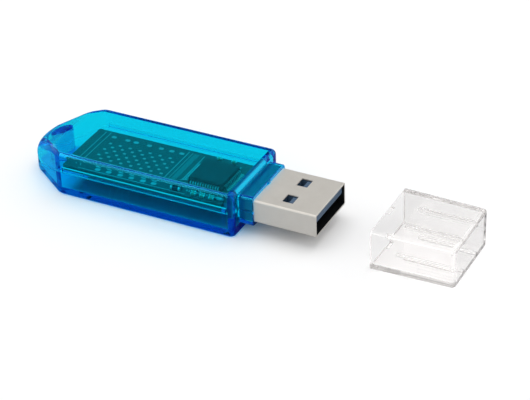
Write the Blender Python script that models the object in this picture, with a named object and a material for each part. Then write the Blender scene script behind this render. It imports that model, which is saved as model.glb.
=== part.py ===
"""A USB stick programmer with a bare USB-A plug and a loose clear cap.

Metres, +Z up. The stick lies along X with its plug towards +X. The origin is the centre of the flat
underside of the case's straight length. The cap lies in front of the plug, on the same table.
"""
import math

import bmesh
import bpy
from mathutils import Matrix, Vector

MM = 0.001

# Case: two moulded halves
CASE_LENGTH = 35.8 * MM          # straight length, from the tail creases to the front face
CASE_WIDTH = 17.8 * MM
CASE_HEIGHT = 8.7 * MM
SIDE_WALL = 1.0 * MM
ROOF = 0.7 * MM
BASE = 1.2 * MM
FRONT_WALL = 1.4 * MM
TAIL_FACET_ANGLE = math.radians(35.3)
TAIL_TIP_RADIUS = 4.6 * MM
TAIL_ARC_STEPS = 14
TAIL_SLOPES = (                  # where each fall of the roof starts, and how steep it is
    (-20.0 * MM, 0.395),
    (-25.6 * MM, 0.8),
)
PARTING_Z = 4.68 * MM
PARTING_TAIL = (                 # how the parting line dips round the tail: x and z
    (-21.0 * MM, 3.30 * MM),
    (-23.0 * MM, 2.65 * MM),
    (-25.0 * MM, 2.35 * MM),
)
LIP_TOP_Z = 5.55 * MM
LIP_OUTER_INSET = 0.50 * MM
LIP_INNER_INSET = 0.95 * MM
LIP_BACK_X = -17.0 * MM
LIP_FRONT_GAP = 0.2 * MM         # from the lip to the inside of the front wall
LIP_ROOT = 0.6 * MM              # how far the lip reaches down into the wall below it
LIP_PLAY = 0.04 * MM
EDGE_ROUND = 0.4 * MM
TAIL_EDGE_ROUND = 1.1 * MM       # upper edge of the tail
SUPPORT_X = (-15.5 * MM, 13.2 * MM)  # ribs of the lower shell that the board rests on
SUPPORT_LENGTH = 0.8 * MM
SUPPORT_HALF_WIDTH = 3.5 * MM
POST_X = -22.0 * MM              # round post in the tail where the two halves are joined
POST_R = 2.0 * MM

# Collar that the cap slides over
COLLAR_LENGTH = 2.6 * MM
COLLAR_HALF_WIDTH = 6.5 * MM
COLLAR_LOW_Z = 1.6 * MM
COLLAR_HIGH_Z = 7.6 * MM
COLLAR_CORNER = 0.9 * MM

# USB-A plug
PLUG_WIDTH = 12.0 * MM
PLUG_HEIGHT = 4.5 * MM
PLUG_Z = 4.68 * MM
PLUG_OUTSIDE = 12.0 * MM         # length that stands out of the collar
PLUG_INSIDE = 1.7 * MM           # length behind the front face of the case
PLUG_SHEET = 0.3 * MM
PLUG_CORNER = 0.55 * MM
WINDOW_FROM_TIP = 5.3 * MM
WINDOW_LENGTH = 2.1 * MM
WINDOW_WIDTH = 2.5 * MM
WINDOW_Y = 2.85 * MM
LEG_REACH = 1.4 * MM             # flat legs behind the shell
LEG_ROOT = 0.5 * MM
LEG_INSETS = (0.02 * MM, 0.27 * MM)
LEG_LOW = -0.6 * MM              # from the middle of the plug
LEG_HIGH = 0.4 * MM
INSERT_PLAY = 0.05 * MM          # between the pieces inside the plug
TONGUE_THICKNESS = 1.83 * MM
TONGUE_HALF_WIDTH = 5.55 * MM
TONGUE_SET_BACK = 0.4 * MM
TONGUE_BACK_GAP = 0.1 * MM
BACK_LENGTH = 2.1 * MM
CONTACT_SHEET = 0.15 * MM
CONTACT_FOOT = 1.3 * MM          # length soldered to the board
CONTACT_LEG_GAP = 0.07 * MM      # from the edge of the board to the upright leg
USB2_CONTACT_Y = (-3.5 * MM, -1.0 * MM, 1.0 * MM, 3.5 * MM)
USB2_HALF_WIDTH = 0.2 * MM
USB2_RUN_END = 8.1 * MM          # from the tip of the plug, like the two lines below
USB2_PAD_BACK = 8.4 * MM
USB2_PAD_FRONTS = (1.1 * MM, 2.1 * MM)   # outer two contacts, inner two contacts
USB2_PAD_HALF_WIDTH = 0.5 * MM
USB2_PAD_EXTRA = 0.02 * MM
SUPERSPEED_CONTACT_Y = (-4.0 * MM, -2.0 * MM, 0.0, 2.0 * MM, 4.0 * MM)
SUPERSPEED_HALF_WIDTH = 0.25 * MM
SUPERSPEED_BEND = 11.0 * MM      # from the tip of the plug
SUPERSPEED_DIP_AT = 1.2 * MM     # from the bend
SUPERSPEED_END_AT = 2.0 * MM
SUPERSPEED_DIP = 0.35 * MM
SUPERSPEED_END_DROP = 0.1 * MM

# Circuit board
BOARD_BACK_X = -18.1 * MM
BOARD_FRONT_X = 15.85 * MM
BOARD_HALF_WIDTH = 6.5 * MM
BOARD_TOP_Z = 5.0 * MM
BOARD_THICKNESS = 1.0 * MM
BOARD_NOTCH_X = 14.5 * MM
BOARD_NOTCH_Y = 5.55 * MM

# Parts on the board: middle in x and y, and length, width and height
CHIP_STANDOFF = 0.1 * MM
LEAD_SHEET = 0.15 * MM
LEAD_ROOT = 0.3 * MM             # how far a lead starts inside the body
LEAD_KNEE = 0.35                 # where a lead turns down, as a share of its reach
LEAD_MOUNT = 0.45                # where it leaves the body, as a share of the body's height
CONTROLLER_AT = (9.6 * MM, 0.0)
CONTROLLER_SIZE = (7.0 * MM, 7.0 * MM, 1.3 * MM)
MEMORY_AT = (-9.0 * MM, 0.0)
MEMORY_SIZE = (4.9 * MM, 3.9 * MM, 1.4 * MM)
REGULATOR_AT = (11.2 * MM, 3.2 * MM)
REGULATOR_SIZE = (2.9 * MM, 1.6 * MM, 1.05 * MM)
CHIP_PART_SIZE = (1.0 * MM, 0.5 * MM, 0.5 * MM)
DIODE_AT = (4.9 * MM, -5.2 * MM)
DIODE_SIZE = (2.0 * MM, 1.25 * MM, 0.7 * MM)
CAPACITORS_AT = (
    (8.6 * MM, -5.75 * MM), (10.4 * MM, -5.75 * MM), (12.2 * MM, -5.75 * MM),
    (7.6 * MM, 5.7 * MM), (10.6 * MM, 5.7 * MM),
)
DATA_RESISTORS_AT = ((8.2 * MM, -2.6 * MM), (8.2 * MM, -1.6 * MM))
PULL_UP_RESISTOR_AT = (-4.2 * MM, 3.0 * MM)
CRYSTAL_AT = (2.4 * MM, 0.0)
CRYSTAL_SIZE = (3.2 * MM, 2.5 * MM, 0.8 * MM)
CRYSTAL_ROUND = 0.12 * MM
CRYSTAL_CAPACITORS_AT = ((2.4 * MM, -2.4 * MM), (2.4 * MM, 2.4 * MM))
LIGHT_AT = (13.6 * MM, -5.1 * MM)
LIGHT_SIZE = (1.6 * MM, 0.8 * MM, 0.6 * MM)

# Cap, drawn at rest on the table
CAP_LENGTH = 15.4 * MM
CAP_HALF_WIDTH = 7.8 * MM
CAP_HALF_HEIGHT = 3.9 * MM
CAP_TAPER = 0.45 * MM            # how much each side closes in towards the closed end
CAP_MOUTH_X = 43.4 * MM
CAP_CAVITY_HALF_WIDTH = 6.68 * MM
CAP_CAVITY_HALF_HEIGHT = 3.12 * MM
CAP_END_WALL = 0.8 * MM
CAP_EDGE_ROUND = 0.75 * MM
CAP_NOTCH_WIDTH = 2.2 * MM
CAP_NOTCH_LENGTH = 0.8 * MM
CAP_NOTCH_DEPTH = 0.35 * MM
CAP_RIB_START = 4.5 * MM
CAP_RIB_WIDTH = 0.6 * MM
CAP_RIB_Y = 2.9 * MM
CAP_RIB_HALF_GAP_Z = 2.66 * MM   # from the middle to the ribs above and below
CAP_RIB_HALF_GAP_Y = 6.25 * MM   # from the middle to the ribs at the sides
CAP_RIB_ROOT = 0.3 * MM          # how far a rib reaches into the wall
CAP_CAVITY_TAPER = 0.8           # as a share of the outside's taper

FIT_GAP = 0.03 * MM              # between pieces that touch
OVERSHOOT = 1.0 * MM             # how far a cutter runs past the face it cuts

HALF_WIDTH = CASE_WIDTH / 2
FRONT_X = CASE_LENGTH / 2
CREASE_X = -CASE_LENGTH / 2
COLLAR_X = FRONT_X + COLLAR_LENGTH
PLUG_BACK_X = FRONT_X - PLUG_INSIDE
PLUG_TIP_X = COLLAR_X + PLUG_OUTSIDE
PLUG_TOP_Z = PLUG_Z + PLUG_HEIGHT / 2
PLUG_LOW_Z = PLUG_Z - PLUG_HEIGHT / 2
BOARD_LOW_Z = BOARD_TOP_Z - BOARD_THICKNESS


def clear_scene():
    for thing in list(bpy.data.objects):
        bpy.data.objects.remove(thing, do_unlink=True)


# ---------------------------------------------------------------- materials

def make_material(name, color, roughness, metallic=0.0, transmission=0.0):
    material = bpy.data.materials.new(name)
    material.use_nodes = True
    shader = material.node_tree.nodes["Principled BSDF"]
    shader.inputs["Base Color"].default_value = (*color, 1.0)
    shader.inputs["Roughness"].default_value = roughness
    shader.inputs["Metallic"].default_value = metallic
    shader.inputs["Transmission Weight"].default_value = transmission
    material.diffuse_color = (*color, 1.0)
    return material


def blue_case_material():
    return make_material("blue_case", (0.02, 0.55, 0.80), 0.12, transmission=0.9)


def clear_cap_material():
    return make_material("clear_cap", (0.95, 0.96, 0.97), 0.06, transmission=1.0)


def plug_metal_material():
    return make_material("plug_metal", (0.72, 0.70, 0.67), 0.32, metallic=1.0)


def tongue_material():
    return make_material("tongue_plastic", (0.10, 0.19, 0.33), 0.45)


def contact_material():
    return make_material("contact_gold", (0.83, 0.63, 0.28), 0.28, metallic=1.0)


def board_material():
    return make_material("board_green", (0.02, 0.22, 0.16), 0.4)


def chip_material():
    return make_material("chip_black", (0.03, 0.03, 0.035), 0.5)


def crystal_material():
    return make_material("crystal_can", (0.75, 0.74, 0.72), 0.25, metallic=1.0)


def ceramic_material():
    return make_material("ceramic_tan", (0.62, 0.48, 0.34), 0.5)


def resistor_material():
    return make_material("resistor_black", (0.05, 0.05, 0.06), 0.45)


def light_material():
    return make_material("light_lens", (0.85, 0.88, 0.82), 0.2)


# ---------------------------------------------------------------- mesh helpers

def make_object(name, mesh_builder, material=None, location=(0.0, 0.0, 0.0)):
    mesh = bpy.data.meshes.new(name)
    bmesh.ops.recalc_face_normals(mesh_builder, faces=mesh_builder.faces)
    mesh_builder.to_mesh(mesh)
    mesh_builder.free()
    thing = bpy.data.objects.new(name, mesh)
    bpy.context.scene.collection.objects.link(thing)
    thing.location = location
    if material is not None:
        mesh.materials.append(material)
        mesh.shade_smooth()
        mesh.set_sharp_from_angle(angle=math.radians(35))
    return thing


def make_tool(name, mesh_builder):
    tool = make_object(name, mesh_builder)
    tool.hide_render = True
    tool.display_type = "WIRE"
    return tool


def cut(thing, tool):
    modifier = thing.modifiers.new("cut_" + tool.name, "BOOLEAN")
    modifier.operation = "DIFFERENCE"
    modifier.object = tool


def join(thing, tool):
    modifier = thing.modifiers.new("join_" + tool.name, "BOOLEAN")
    modifier.operation = "UNION"
    modifier.object = tool


def round_edges(thing, width, segments, angle=40):
    modifier = thing.modifiers.new("rounded_edges", "BEVEL")
    modifier.width = width
    modifier.segments = segments
    modifier.limit_method = "ANGLE"
    modifier.angle_limit = math.radians(angle)


def prism(outline, low, high, axis="Z"):
    """Closed solid: a flat outline pushed from low to high along an axis."""
    place = {
        "X": lambda a, b, height: (height, a, b),
        "Y": lambda a, b, height: (a, height, b),
        "Z": lambda a, b, height: (a, b, height),
    }[axis]
    builder = bmesh.new()
    low_ring = [builder.verts.new(place(a, b, low)) for a, b in outline]
    high_ring = [builder.verts.new(place(a, b, high)) for a, b in outline]
    builder.faces.new(low_ring)
    builder.faces.new(high_ring)
    for index in range(len(outline)):
        following = (index + 1) % len(outline)
        builder.faces.new((low_ring[index], low_ring[following], high_ring[following], high_ring[index]))
    return builder


def box(x_range, y_range, z_range):
    low_x, high_x = x_range
    low_y, high_y = y_range
    return prism([(low_x, low_y), (high_x, low_y), (high_x, high_y), (low_x, high_y)], z_range[0], z_range[1])


def cylinder(centre_x, centre_y, radius, low, high, steps=32):
    outline = []
    for step in range(steps):
        angle = 2 * math.pi * step / steps
        outline.append((centre_x + radius * math.cos(angle), centre_y + radius * math.sin(angle)))
    return prism(outline, low, high)


def rounded_rectangle(half_width, low, high, radius, steps=4):
    """Outline in Y and Z, anticlockwise seen from +X."""
    outline = []
    corners = ((1, high, 0), (-1, high, 90), (-1, low, 180), (1, low, 270))
    for side, level, start in corners:
        centre_y = side * (half_width - radius)
        centre_z = level - radius if level == high else level + radius
        for step in range(steps + 1):
            angle = math.radians(start + 90 * step / steps)
            outline.append((centre_y + radius * math.cos(angle), centre_z + radius * math.sin(angle)))
    return outline


def slope_the_tail(builder, roof_z):
    """Cut away what stands above the planes that fall towards -X from roof_z."""
    level = roof_z
    last_x, last_slope = TAIL_SLOPES[0]
    for start_x, slope in TAIL_SLOPES:
        level -= (last_x - start_x) * last_slope
        normal = Vector((-slope, 0.0, 1.0)).normalized()
        geometry = builder.verts[:] + builder.edges[:] + builder.faces[:]
        bmesh.ops.bisect_plane(builder, geom=geometry, dist=1e-7, plane_co=(start_x, 0.0, level),
                               plane_no=normal, clear_outer=True)
        open_edges = [edge for edge in builder.edges if edge.is_boundary]
        bmesh.ops.contextual_create(builder, geom=open_edges)
        last_x, last_slope = start_x, slope
    return builder


def round_tail_edge(builder):
    """Round the upper edge of the tail, from one crease round the tip to the other."""
    bmesh.ops.recalc_face_normals(builder, faces=builder.faces)
    edges = []
    for edge in builder.edges:
        near_x = max(vertex.co.x for vertex in edge.verts)
        low_z = min(vertex.co.z for vertex in edge.verts)
        sharp = edge.calc_face_angle(0.0) > math.radians(40)
        if near_x < CREASE_X + FIT_GAP and low_z > PARTING_TAIL[0][1] and sharp:
            edges.append(edge)
    bmesh.ops.bevel(builder, geom=edges, offset=TAIL_EDGE_ROUND, offset_type="OFFSET", segments=4,
                    profile=0.5, affect="EDGES", clamp_overlap=True)
    return builder


# ---------------------------------------------------------------- case outline

TIP_CENTRE_X = (CREASE_X + TAIL_TIP_RADIUS * math.sin(TAIL_FACET_ANGLE)
                - (HALF_WIDTH - TAIL_TIP_RADIUS * math.cos(TAIL_FACET_ANGLE)) / math.tan(TAIL_FACET_ANGLE))


def facet_start(inset):
    """Where the slanted tail facet meets the round tip, on the +Y side."""
    radius = TAIL_TIP_RADIUS - inset
    x = TIP_CENTRE_X - radius * math.sin(TAIL_FACET_ANGLE)
    y = radius * math.cos(TAIL_FACET_ANGLE)
    return x, y


def crease_x(inset):
    x, y = facet_start(inset)
    return x + (HALF_WIDTH - inset - y) / math.tan(TAIL_FACET_ANGLE)


def case_outline(inset, front_x):
    """Plan of the case moved inwards by inset, with its front at front_x."""
    half = HALF_WIDTH - inset
    radius = TAIL_TIP_RADIUS - inset
    outline = [(front_x, -half), (front_x, half), (crease_x(inset), half)]
    first = math.pi / 2 + TAIL_FACET_ANGLE
    sweep = math.pi - 2 * TAIL_FACET_ANGLE
    for step in range(TAIL_ARC_STEPS + 1):
        angle = first + sweep * step / TAIL_ARC_STEPS
        outline.append((TIP_CENTRE_X + radius * math.cos(angle), radius * math.sin(angle)))
    outline.append((crease_x(inset), -half))
    return outline


def parting_outline(far, lift, up):
    """Side view, in X and Z, of all the space above (up = 1) or below (up = -1) the parting line."""
    tail = [(x, z + lift) for x, z in reversed(PARTING_TAIL)]
    line = [(-far, tail[0][1])] + tail + [(CREASE_X, PARTING_Z + lift), (far, PARTING_Z + lift)]
    return line + [(far, up * far), (-far, up * far)]


# ---------------------------------------------------------------- case halves

def case_tools():
    """Solids that both halves of the case are shaped with."""
    collar_outline = rounded_rectangle(COLLAR_HALF_WIDTH, COLLAR_LOW_Z, COLLAR_HIGH_Z, COLLAR_CORNER)
    collar = make_tool("tool_collar", prism(collar_outline, FRONT_X - FRONT_WALL / 2, COLLAR_X, "X"))
    hollow = prism(case_outline(SIDE_WALL, FRONT_X - FRONT_WALL), BASE, CASE_HEIGHT - ROOF)
    slope_the_tail(hollow, CASE_HEIGHT - ROOF * 1.1)
    cavity = make_tool("tool_cavity", hollow)
    column = cylinder(POST_X, 0.0, POST_R, BASE / 2, CASE_HEIGHT)
    post = make_tool("tool_post", slope_the_tail(column, CASE_HEIGHT - ROOF / 2))
    opening_outline = rounded_rectangle(PLUG_WIDTH / 2 + FIT_GAP, PLUG_LOW_Z - FIT_GAP,
                                        PLUG_TOP_Z + FIT_GAP, PLUG_CORNER)
    opening = make_tool("tool_opening", prism(opening_outline, PLUG_BACK_X - OVERSHOOT,
                                              COLLAR_X + OVERSHOOT, "X"))
    return {"collar": collar, "cavity": cavity, "post": post, "opening": opening}


def case_half(name, material, tools):
    outer = prism(case_outline(0.0, FRONT_X), 0.0, CASE_HEIGHT)
    slope_the_tail(outer, CASE_HEIGHT)
    half = make_object(name, round_tail_edge(outer), material)
    round_edges(half, EDGE_ROUND, 2)
    join(half, tools["collar"])
    cut(half, tools["cavity"])
    join(half, tools["post"])
    cut(half, tools["opening"])
    return half


def lip_box(side, play, low, high):
    """Lip along the top of one side wall, or with play around it the rebate that takes it."""
    x_range = (LIP_BACK_X - play, FRONT_X - FRONT_WALL - LIP_FRONT_GAP + play)
    inner_inset = LIP_INNER_INSET if play == 0.0 else SIDE_WALL + play
    y_range = sorted((side * (HALF_WIDTH - inner_inset), side * (HALF_WIDTH - LIP_OUTER_INSET + play)))
    return box(x_range, y_range, (low, high))


def lower_shell(material, tools):
    half = case_half("lower_shell", material, tools)
    far = 2 * CASE_LENGTH
    above = prism(parting_outline(far, 0.0, 1), -far, far, "Y")
    cut(half, make_tool("tool_above", above))
    for side in (-1, 1):
        lip = lip_box(side, 0.0, PARTING_Z - LIP_ROOT, LIP_TOP_Z)
        join(half, make_tool(f"tool_lip_{side}", lip))
    for end, x in enumerate(SUPPORT_X):
        rib = box((x - SUPPORT_LENGTH / 2, x + SUPPORT_LENGTH / 2), (-SUPPORT_HALF_WIDTH, SUPPORT_HALF_WIDTH),
                  (BASE / 2, BOARD_LOW_Z - FIT_GAP))
        join(half, make_tool(f"tool_support_{end}", rib))
    return half


def upper_shell(material, tools):
    half = case_half("upper_shell", material, tools)
    far = 2 * CASE_LENGTH
    below = prism(parting_outline(far, FIT_GAP, -1), -far, far, "Y")
    cut(half, make_tool("tool_below", below))
    for side in (-1, 1):
        cut(half, make_tool(f"tool_rebate_{side}", lip_box(side, LIP_PLAY, 0.0, LIP_TOP_Z + LIP_PLAY)))
    return half


# ---------------------------------------------------------------- plug

def plug_shell(material):
    outer = rounded_rectangle(PLUG_WIDTH / 2, PLUG_LOW_Z, PLUG_TOP_Z, PLUG_CORNER)
    inner = rounded_rectangle(PLUG_WIDTH / 2 - PLUG_SHEET, PLUG_LOW_Z + PLUG_SHEET,
                              PLUG_TOP_Z - PLUG_SHEET, PLUG_CORNER - PLUG_SHEET)
    shell = make_object("plug_shell", prism(outer, PLUG_BACK_X, PLUG_TIP_X, "X"), material)
    bore = prism(inner, PLUG_BACK_X - OVERSHOOT, PLUG_TIP_X + OVERSHOOT, "X")
    cut(shell, make_tool("tool_plug_bore", bore))
    window_front = PLUG_TIP_X - WINDOW_FROM_TIP
    windows_x = (window_front - WINDOW_LENGTH, window_front)
    for side in (-1, 1):
        middle = side * WINDOW_Y
        windows_y = (middle - WINDOW_WIDTH / 2, middle + WINDOW_WIDTH / 2)
        window = box(windows_x, windows_y, (PLUG_LOW_Z - OVERSHOOT, PLUG_TOP_Z + OVERSHOOT))
        cut(shell, make_tool(f"tool_window_{side}", window))
        leg_y = sorted(side * (PLUG_WIDTH / 2 - inset) for inset in LEG_INSETS)
        leg = box((PLUG_BACK_X - LEG_REACH, PLUG_BACK_X + LEG_ROOT), leg_y,
                  (PLUG_Z + LEG_LOW, PLUG_Z + LEG_HIGH))
        join(shell, make_tool(f"tool_leg_{side}", leg))
    return shell


def plug_tongue(material):
    high = PLUG_TOP_Z - PLUG_SHEET - INSERT_PLAY
    block = box((PLUG_BACK_X + TONGUE_BACK_GAP, PLUG_TIP_X - TONGUE_SET_BACK),
                (-TONGUE_HALF_WIDTH, TONGUE_HALF_WIDTH), (high - TONGUE_THICKNESS, high))
    tongue = make_object("plug_tongue", block, material)
    round_edges(tongue, 0.18 * MM, 2)
    return tongue


def contact_high_z():
    return PLUG_TOP_Z - PLUG_SHEET - TONGUE_THICKNESS - 2 * INSERT_PLAY


def plug_back(material):
    high = contact_high_z() - CONTACT_SHEET - INSERT_PLAY
    back_x = PLUG_BACK_X + TONGUE_BACK_GAP
    block = box((back_x, back_x + BACK_LENGTH), (-TONGUE_HALF_WIDTH, TONGUE_HALF_WIDTH),
                (PLUG_LOW_Z + PLUG_SHEET + INSERT_PLAY, high))
    back = make_object("plug_back", block, material)
    round_edges(back, 0.15 * MM, 1)
    return back


def usb2_contact(number, middle_y, material):
    """Long flat contact under the tongue, with a tail soldered under the board."""
    high = contact_high_z()
    low = high - CONTACT_SHEET
    foot_high = BOARD_LOW_Z - FIT_GAP
    foot_low = foot_high - CONTACT_SHEET
    foot_back = BOARD_FRONT_X - CONTACT_FOOT
    leg_back = BOARD_FRONT_X + CONTACT_LEG_GAP
    leg_front = leg_back + CONTACT_SHEET
    run_end = PLUG_TIP_X - USB2_RUN_END
    side_view = [
        (run_end, high), (leg_back, high), (leg_back, foot_high), (foot_back, foot_high),
        (foot_back, foot_low), (leg_front, foot_low), (leg_front, low), (run_end, low),
    ]
    strip = prism(side_view, middle_y - USB2_HALF_WIDTH, middle_y + USB2_HALF_WIDTH, "Y")
    contact = make_object(f"usb2_contact_{number}", strip, material)
    outermost = abs(middle_y) == max(USB2_CONTACT_Y)
    pad_front = PLUG_TIP_X - (USB2_PAD_FRONTS[0] if outermost else USB2_PAD_FRONTS[1])
    pad = box((PLUG_TIP_X - USB2_PAD_BACK, pad_front),
              (middle_y - USB2_PAD_HALF_WIDTH, middle_y + USB2_PAD_HALF_WIDTH),
              (low - USB2_PAD_EXTRA, high + USB2_PAD_EXTRA))
    join(contact, make_tool(f"tool_pad_{number}", pad))
    return contact


def superspeed_contact(number, middle_y, material):
    """Short sprung contact behind the long ones, with a tail soldered on top of the board."""
    high = contact_high_z()
    low = high - CONTACT_SHEET
    foot_low = BOARD_TOP_Z + FIT_GAP
    foot_high = foot_low + CONTACT_SHEET
    foot_back = BOARD_FRONT_X - CONTACT_FOOT
    leg_back = BOARD_FRONT_X + CONTACT_LEG_GAP
    leg_front = leg_back + CONTACT_SHEET
    bend_x = PLUG_TIP_X - SUPERSPEED_BEND
    dip_x = bend_x + SUPERSPEED_DIP_AT
    end_x = bend_x + SUPERSPEED_END_AT
    dip = SUPERSPEED_DIP
    drop = SUPERSPEED_END_DROP
    side_view = [
        (bend_x, high), (leg_front, high), (leg_front, foot_high), (foot_back, foot_high),
        (foot_back, foot_low), (leg_back, foot_low), (leg_back, low), (bend_x, low),
        (dip_x, low - dip), (end_x, low - drop), (end_x, high - drop), (dip_x, high - dip),
    ]
    strip = prism(side_view, middle_y - SUPERSPEED_HALF_WIDTH, middle_y + SUPERSPEED_HALF_WIDTH, "Y")
    return make_object(f"superspeed_contact_{number}", strip, material)


# ---------------------------------------------------------------- board and its parts

def circuit_board(material):
    outline = [
        (BOARD_BACK_X, -BOARD_HALF_WIDTH), (BOARD_NOTCH_X, -BOARD_HALF_WIDTH),
        (BOARD_NOTCH_X, -BOARD_NOTCH_Y), (BOARD_FRONT_X, -BOARD_NOTCH_Y),
        (BOARD_FRONT_X, BOARD_NOTCH_Y), (BOARD_NOTCH_X, BOARD_NOTCH_Y),
        (BOARD_NOTCH_X, BOARD_HALF_WIDTH), (BOARD_BACK_X, BOARD_HALF_WIDTH),
    ]
    return make_object("circuit_board", prism(outline, BOARD_LOW_Z, BOARD_TOP_Z), material)


def bent_lead(builder, turn, along, half_width, body_half, reach, mount_z, foot_z, up):
    """Add one gull-wing lead that leaves the body towards +X before it is turned about Z."""
    sheet = LEAD_SHEET
    root = body_half - LEAD_ROOT
    knee = body_half + reach * LEAD_KNEE
    toe = body_half + reach
    profile = [
        (root, mount_z), (knee, mount_z), (knee, foot_z), (toe, foot_z),
        (toe, foot_z + up * sheet), (knee + sheet, foot_z + up * sheet), (knee + sheet, mount_z + up * sheet),
        (root, mount_z + up * sheet),
    ]
    lead = prism(profile, along - half_width, along + half_width, "Y")
    bmesh.ops.rotate(lead, verts=lead.verts, cent=(0.0, 0.0, 0.0), matrix=Matrix.Rotation(turn, 3, "Z"))
    mesh = bpy.data.meshes.new("lead_piece")
    lead.to_mesh(mesh)
    lead.free()
    builder.from_mesh(mesh)
    bpy.data.meshes.remove(mesh)


def leaded_chip(name, material, centre, size, side_turns, per_side, pitch, lead_half_width, reach, up):
    """A moulded chip with bent leads. up is 1 on top of the board and -1 underneath it."""
    surface = BOARD_TOP_Z if up > 0 else BOARD_LOW_Z
    z_range = sorted((surface + up * CHIP_STANDOFF, surface + up * (CHIP_STANDOFF + size[2])))
    body = box((-size[0] / 2, size[0] / 2), (-size[1] / 2, size[1] / 2), z_range)
    chip = make_object(name, body, material, (centre[0], centre[1], 0.0))
    leads = bmesh.new()
    foot_z = surface + up * FIT_GAP
    mount_z = surface + up * (CHIP_STANDOFF + size[2] * LEAD_MOUNT)
    for turn in side_turns:
        body_half = size[0] / 2 if abs(math.sin(turn)) < 0.5 else size[1] / 2
        for index in range(per_side):
            along = (index - (per_side - 1) / 2) * pitch
            bent_lead(leads, turn, along, lead_half_width, body_half, reach, mount_z, foot_z, up)
    tool = make_tool("tool_leads_" + name, leads)
    tool.location = chip.location
    join(chip, tool)
    return chip


def controller_chip(material):
    turns = [math.radians(angle) for angle in (0, 90, 180, 270)]
    return leaded_chip("controller_chip", material, CONTROLLER_AT, CONTROLLER_SIZE, turns,
                       per_side=12, pitch=0.5 * MM, lead_half_width=0.11 * MM, reach=1.0 * MM, up=1)


def memory_chip(material):
    turns = [math.radians(angle) for angle in (90, 270)]
    return leaded_chip("memory_chip", material, MEMORY_AT, MEMORY_SIZE, turns,
                       per_side=4, pitch=1.27 * MM, lead_half_width=0.2 * MM, reach=1.0 * MM, up=-1)


def voltage_regulator(material):
    turns = [math.radians(angle) for angle in (90, 270)]
    return leaded_chip("voltage_regulator", material, REGULATOR_AT, REGULATOR_SIZE, turns,
                       per_side=2, pitch=1.9 * MM, lead_half_width=0.2 * MM, reach=0.6 * MM, up=-1)


def small_part(name, material, centre, size, up, rounding=0.06 * MM):
    """A rectangular part that lies flat on one side of the board."""
    surface = BOARD_TOP_Z if up > 0 else BOARD_LOW_Z
    z_range = sorted((up * FIT_GAP, up * (FIT_GAP + size[2])))
    block = box((-size[0] / 2, size[0] / 2), (-size[1] / 2, size[1] / 2), z_range)
    part = make_object(name, block, material, (centre[0], centre[1], surface))
    round_edges(part, rounding, 1)
    return part


def small_parts():
    ceramic = ceramic_material()
    resistor = resistor_material()
    small_part("diode", resistor, DIODE_AT, DIODE_SIZE, 1)
    for number, centre in enumerate(CAPACITORS_AT, start=1):
        small_part(f"capacitor_{number}", ceramic, centre, CHIP_PART_SIZE, 1)
    for number, centre in enumerate(DATA_RESISTORS_AT, start=1):
        small_part(f"data_resistor_{number}", resistor, centre, CHIP_PART_SIZE, -1)
    small_part("pull_up_resistor", resistor, PULL_UP_RESISTOR_AT, CHIP_PART_SIZE, -1)
    for number, centre in enumerate(CRYSTAL_CAPACITORS_AT, start=1):
        small_part(f"crystal_capacitor_{number}", ceramic, centre, CHIP_PART_SIZE, -1)
    small_part("crystal", crystal_material(), CRYSTAL_AT, CRYSTAL_SIZE, -1, CRYSTAL_ROUND)
    small_part("status_light", light_material(), LIGHT_AT, LIGHT_SIZE, 1)


# ---------------------------------------------------------------- cap

def tapered_block(length, half_width, half_height, taper, start):
    """Block along X from start, whose sides close in by taper over its length."""
    outline = [
        (start, -half_width), (start + length, -half_width + taper),
        (start + length, half_width - taper), (start, half_width),
    ]
    return prism(outline, -half_height, half_height)


def rounded_cap_block():
    """Outside of the cap. Every edge is rounded but those of the open end."""
    block = tapered_block(CAP_LENGTH, CAP_HALF_WIDTH, CAP_HALF_HEIGHT, CAP_TAPER, 0.0)
    bmesh.ops.recalc_face_normals(block, faces=block.faces)
    edges = [edge for edge in block.edges if max(vertex.co.x for vertex in edge.verts) > CAP_LENGTH / 2]
    bmesh.ops.bevel(block, geom=edges, offset=CAP_EDGE_ROUND, offset_type="OFFSET", segments=3,
                    profile=0.5, affect="EDGES")
    return block


def cap(material):
    """Open towards -X. Its parent empty sits in the middle of the mouth, on the line it slides along."""
    slide = bpy.data.objects.new("cap_slide", None)
    bpy.context.scene.collection.objects.link(slide)
    slide.location = (CAP_MOUTH_X, 0.0, CAP_HALF_HEIGHT)
    body = make_object("cap", rounded_cap_block(), material)
    body.parent = slide
    depth = CAP_LENGTH - CAP_END_WALL
    tools = []
    hollow = tapered_block(depth + OVERSHOOT, CAP_CAVITY_HALF_WIDTH, CAP_CAVITY_HALF_HEIGHT,
                           CAP_TAPER * CAP_CAVITY_TAPER, -OVERSHOOT)
    tools.append((cut, make_tool("tool_cap_hollow", hollow)))
    notch_z = CAP_CAVITY_HALF_HEIGHT + CAP_NOTCH_DEPTH
    half_notch = CAP_NOTCH_WIDTH / 2
    notch = box((-OVERSHOOT, CAP_NOTCH_LENGTH), (-half_notch, half_notch), (-notch_z, notch_z))
    tools.append((cut, make_tool("tool_cap_notch", notch)))
    rib_x = (CAP_RIB_START, CAP_LENGTH - CAP_END_WALL / 2)
    half_rib = CAP_RIB_WIDTH / 2
    for side in (-1, 1):
        rib_y = sorted((side * CAP_RIB_HALF_GAP_Y, side * (CAP_CAVITY_HALF_WIDTH + CAP_RIB_ROOT)))
        tools.append((join, make_tool(f"tool_side_rib_{side}", box(rib_x, rib_y, (-half_rib, half_rib)))))
        rib_z = sorted((side * CAP_RIB_HALF_GAP_Z, side * (CAP_CAVITY_HALF_HEIGHT + CAP_RIB_ROOT)))
        for row in (-1, 1):
            middle = row * CAP_RIB_Y
            rib = box(rib_x, (middle - half_rib, middle + half_rib), rib_z)
            tools.append((join, make_tool(f"tool_flat_rib_{side}_{row}", rib)))
    for operation, tool in tools:
        tool.parent = slide
        operation(body, tool)
    return body


# ---------------------------------------------------------------- whole object

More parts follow.
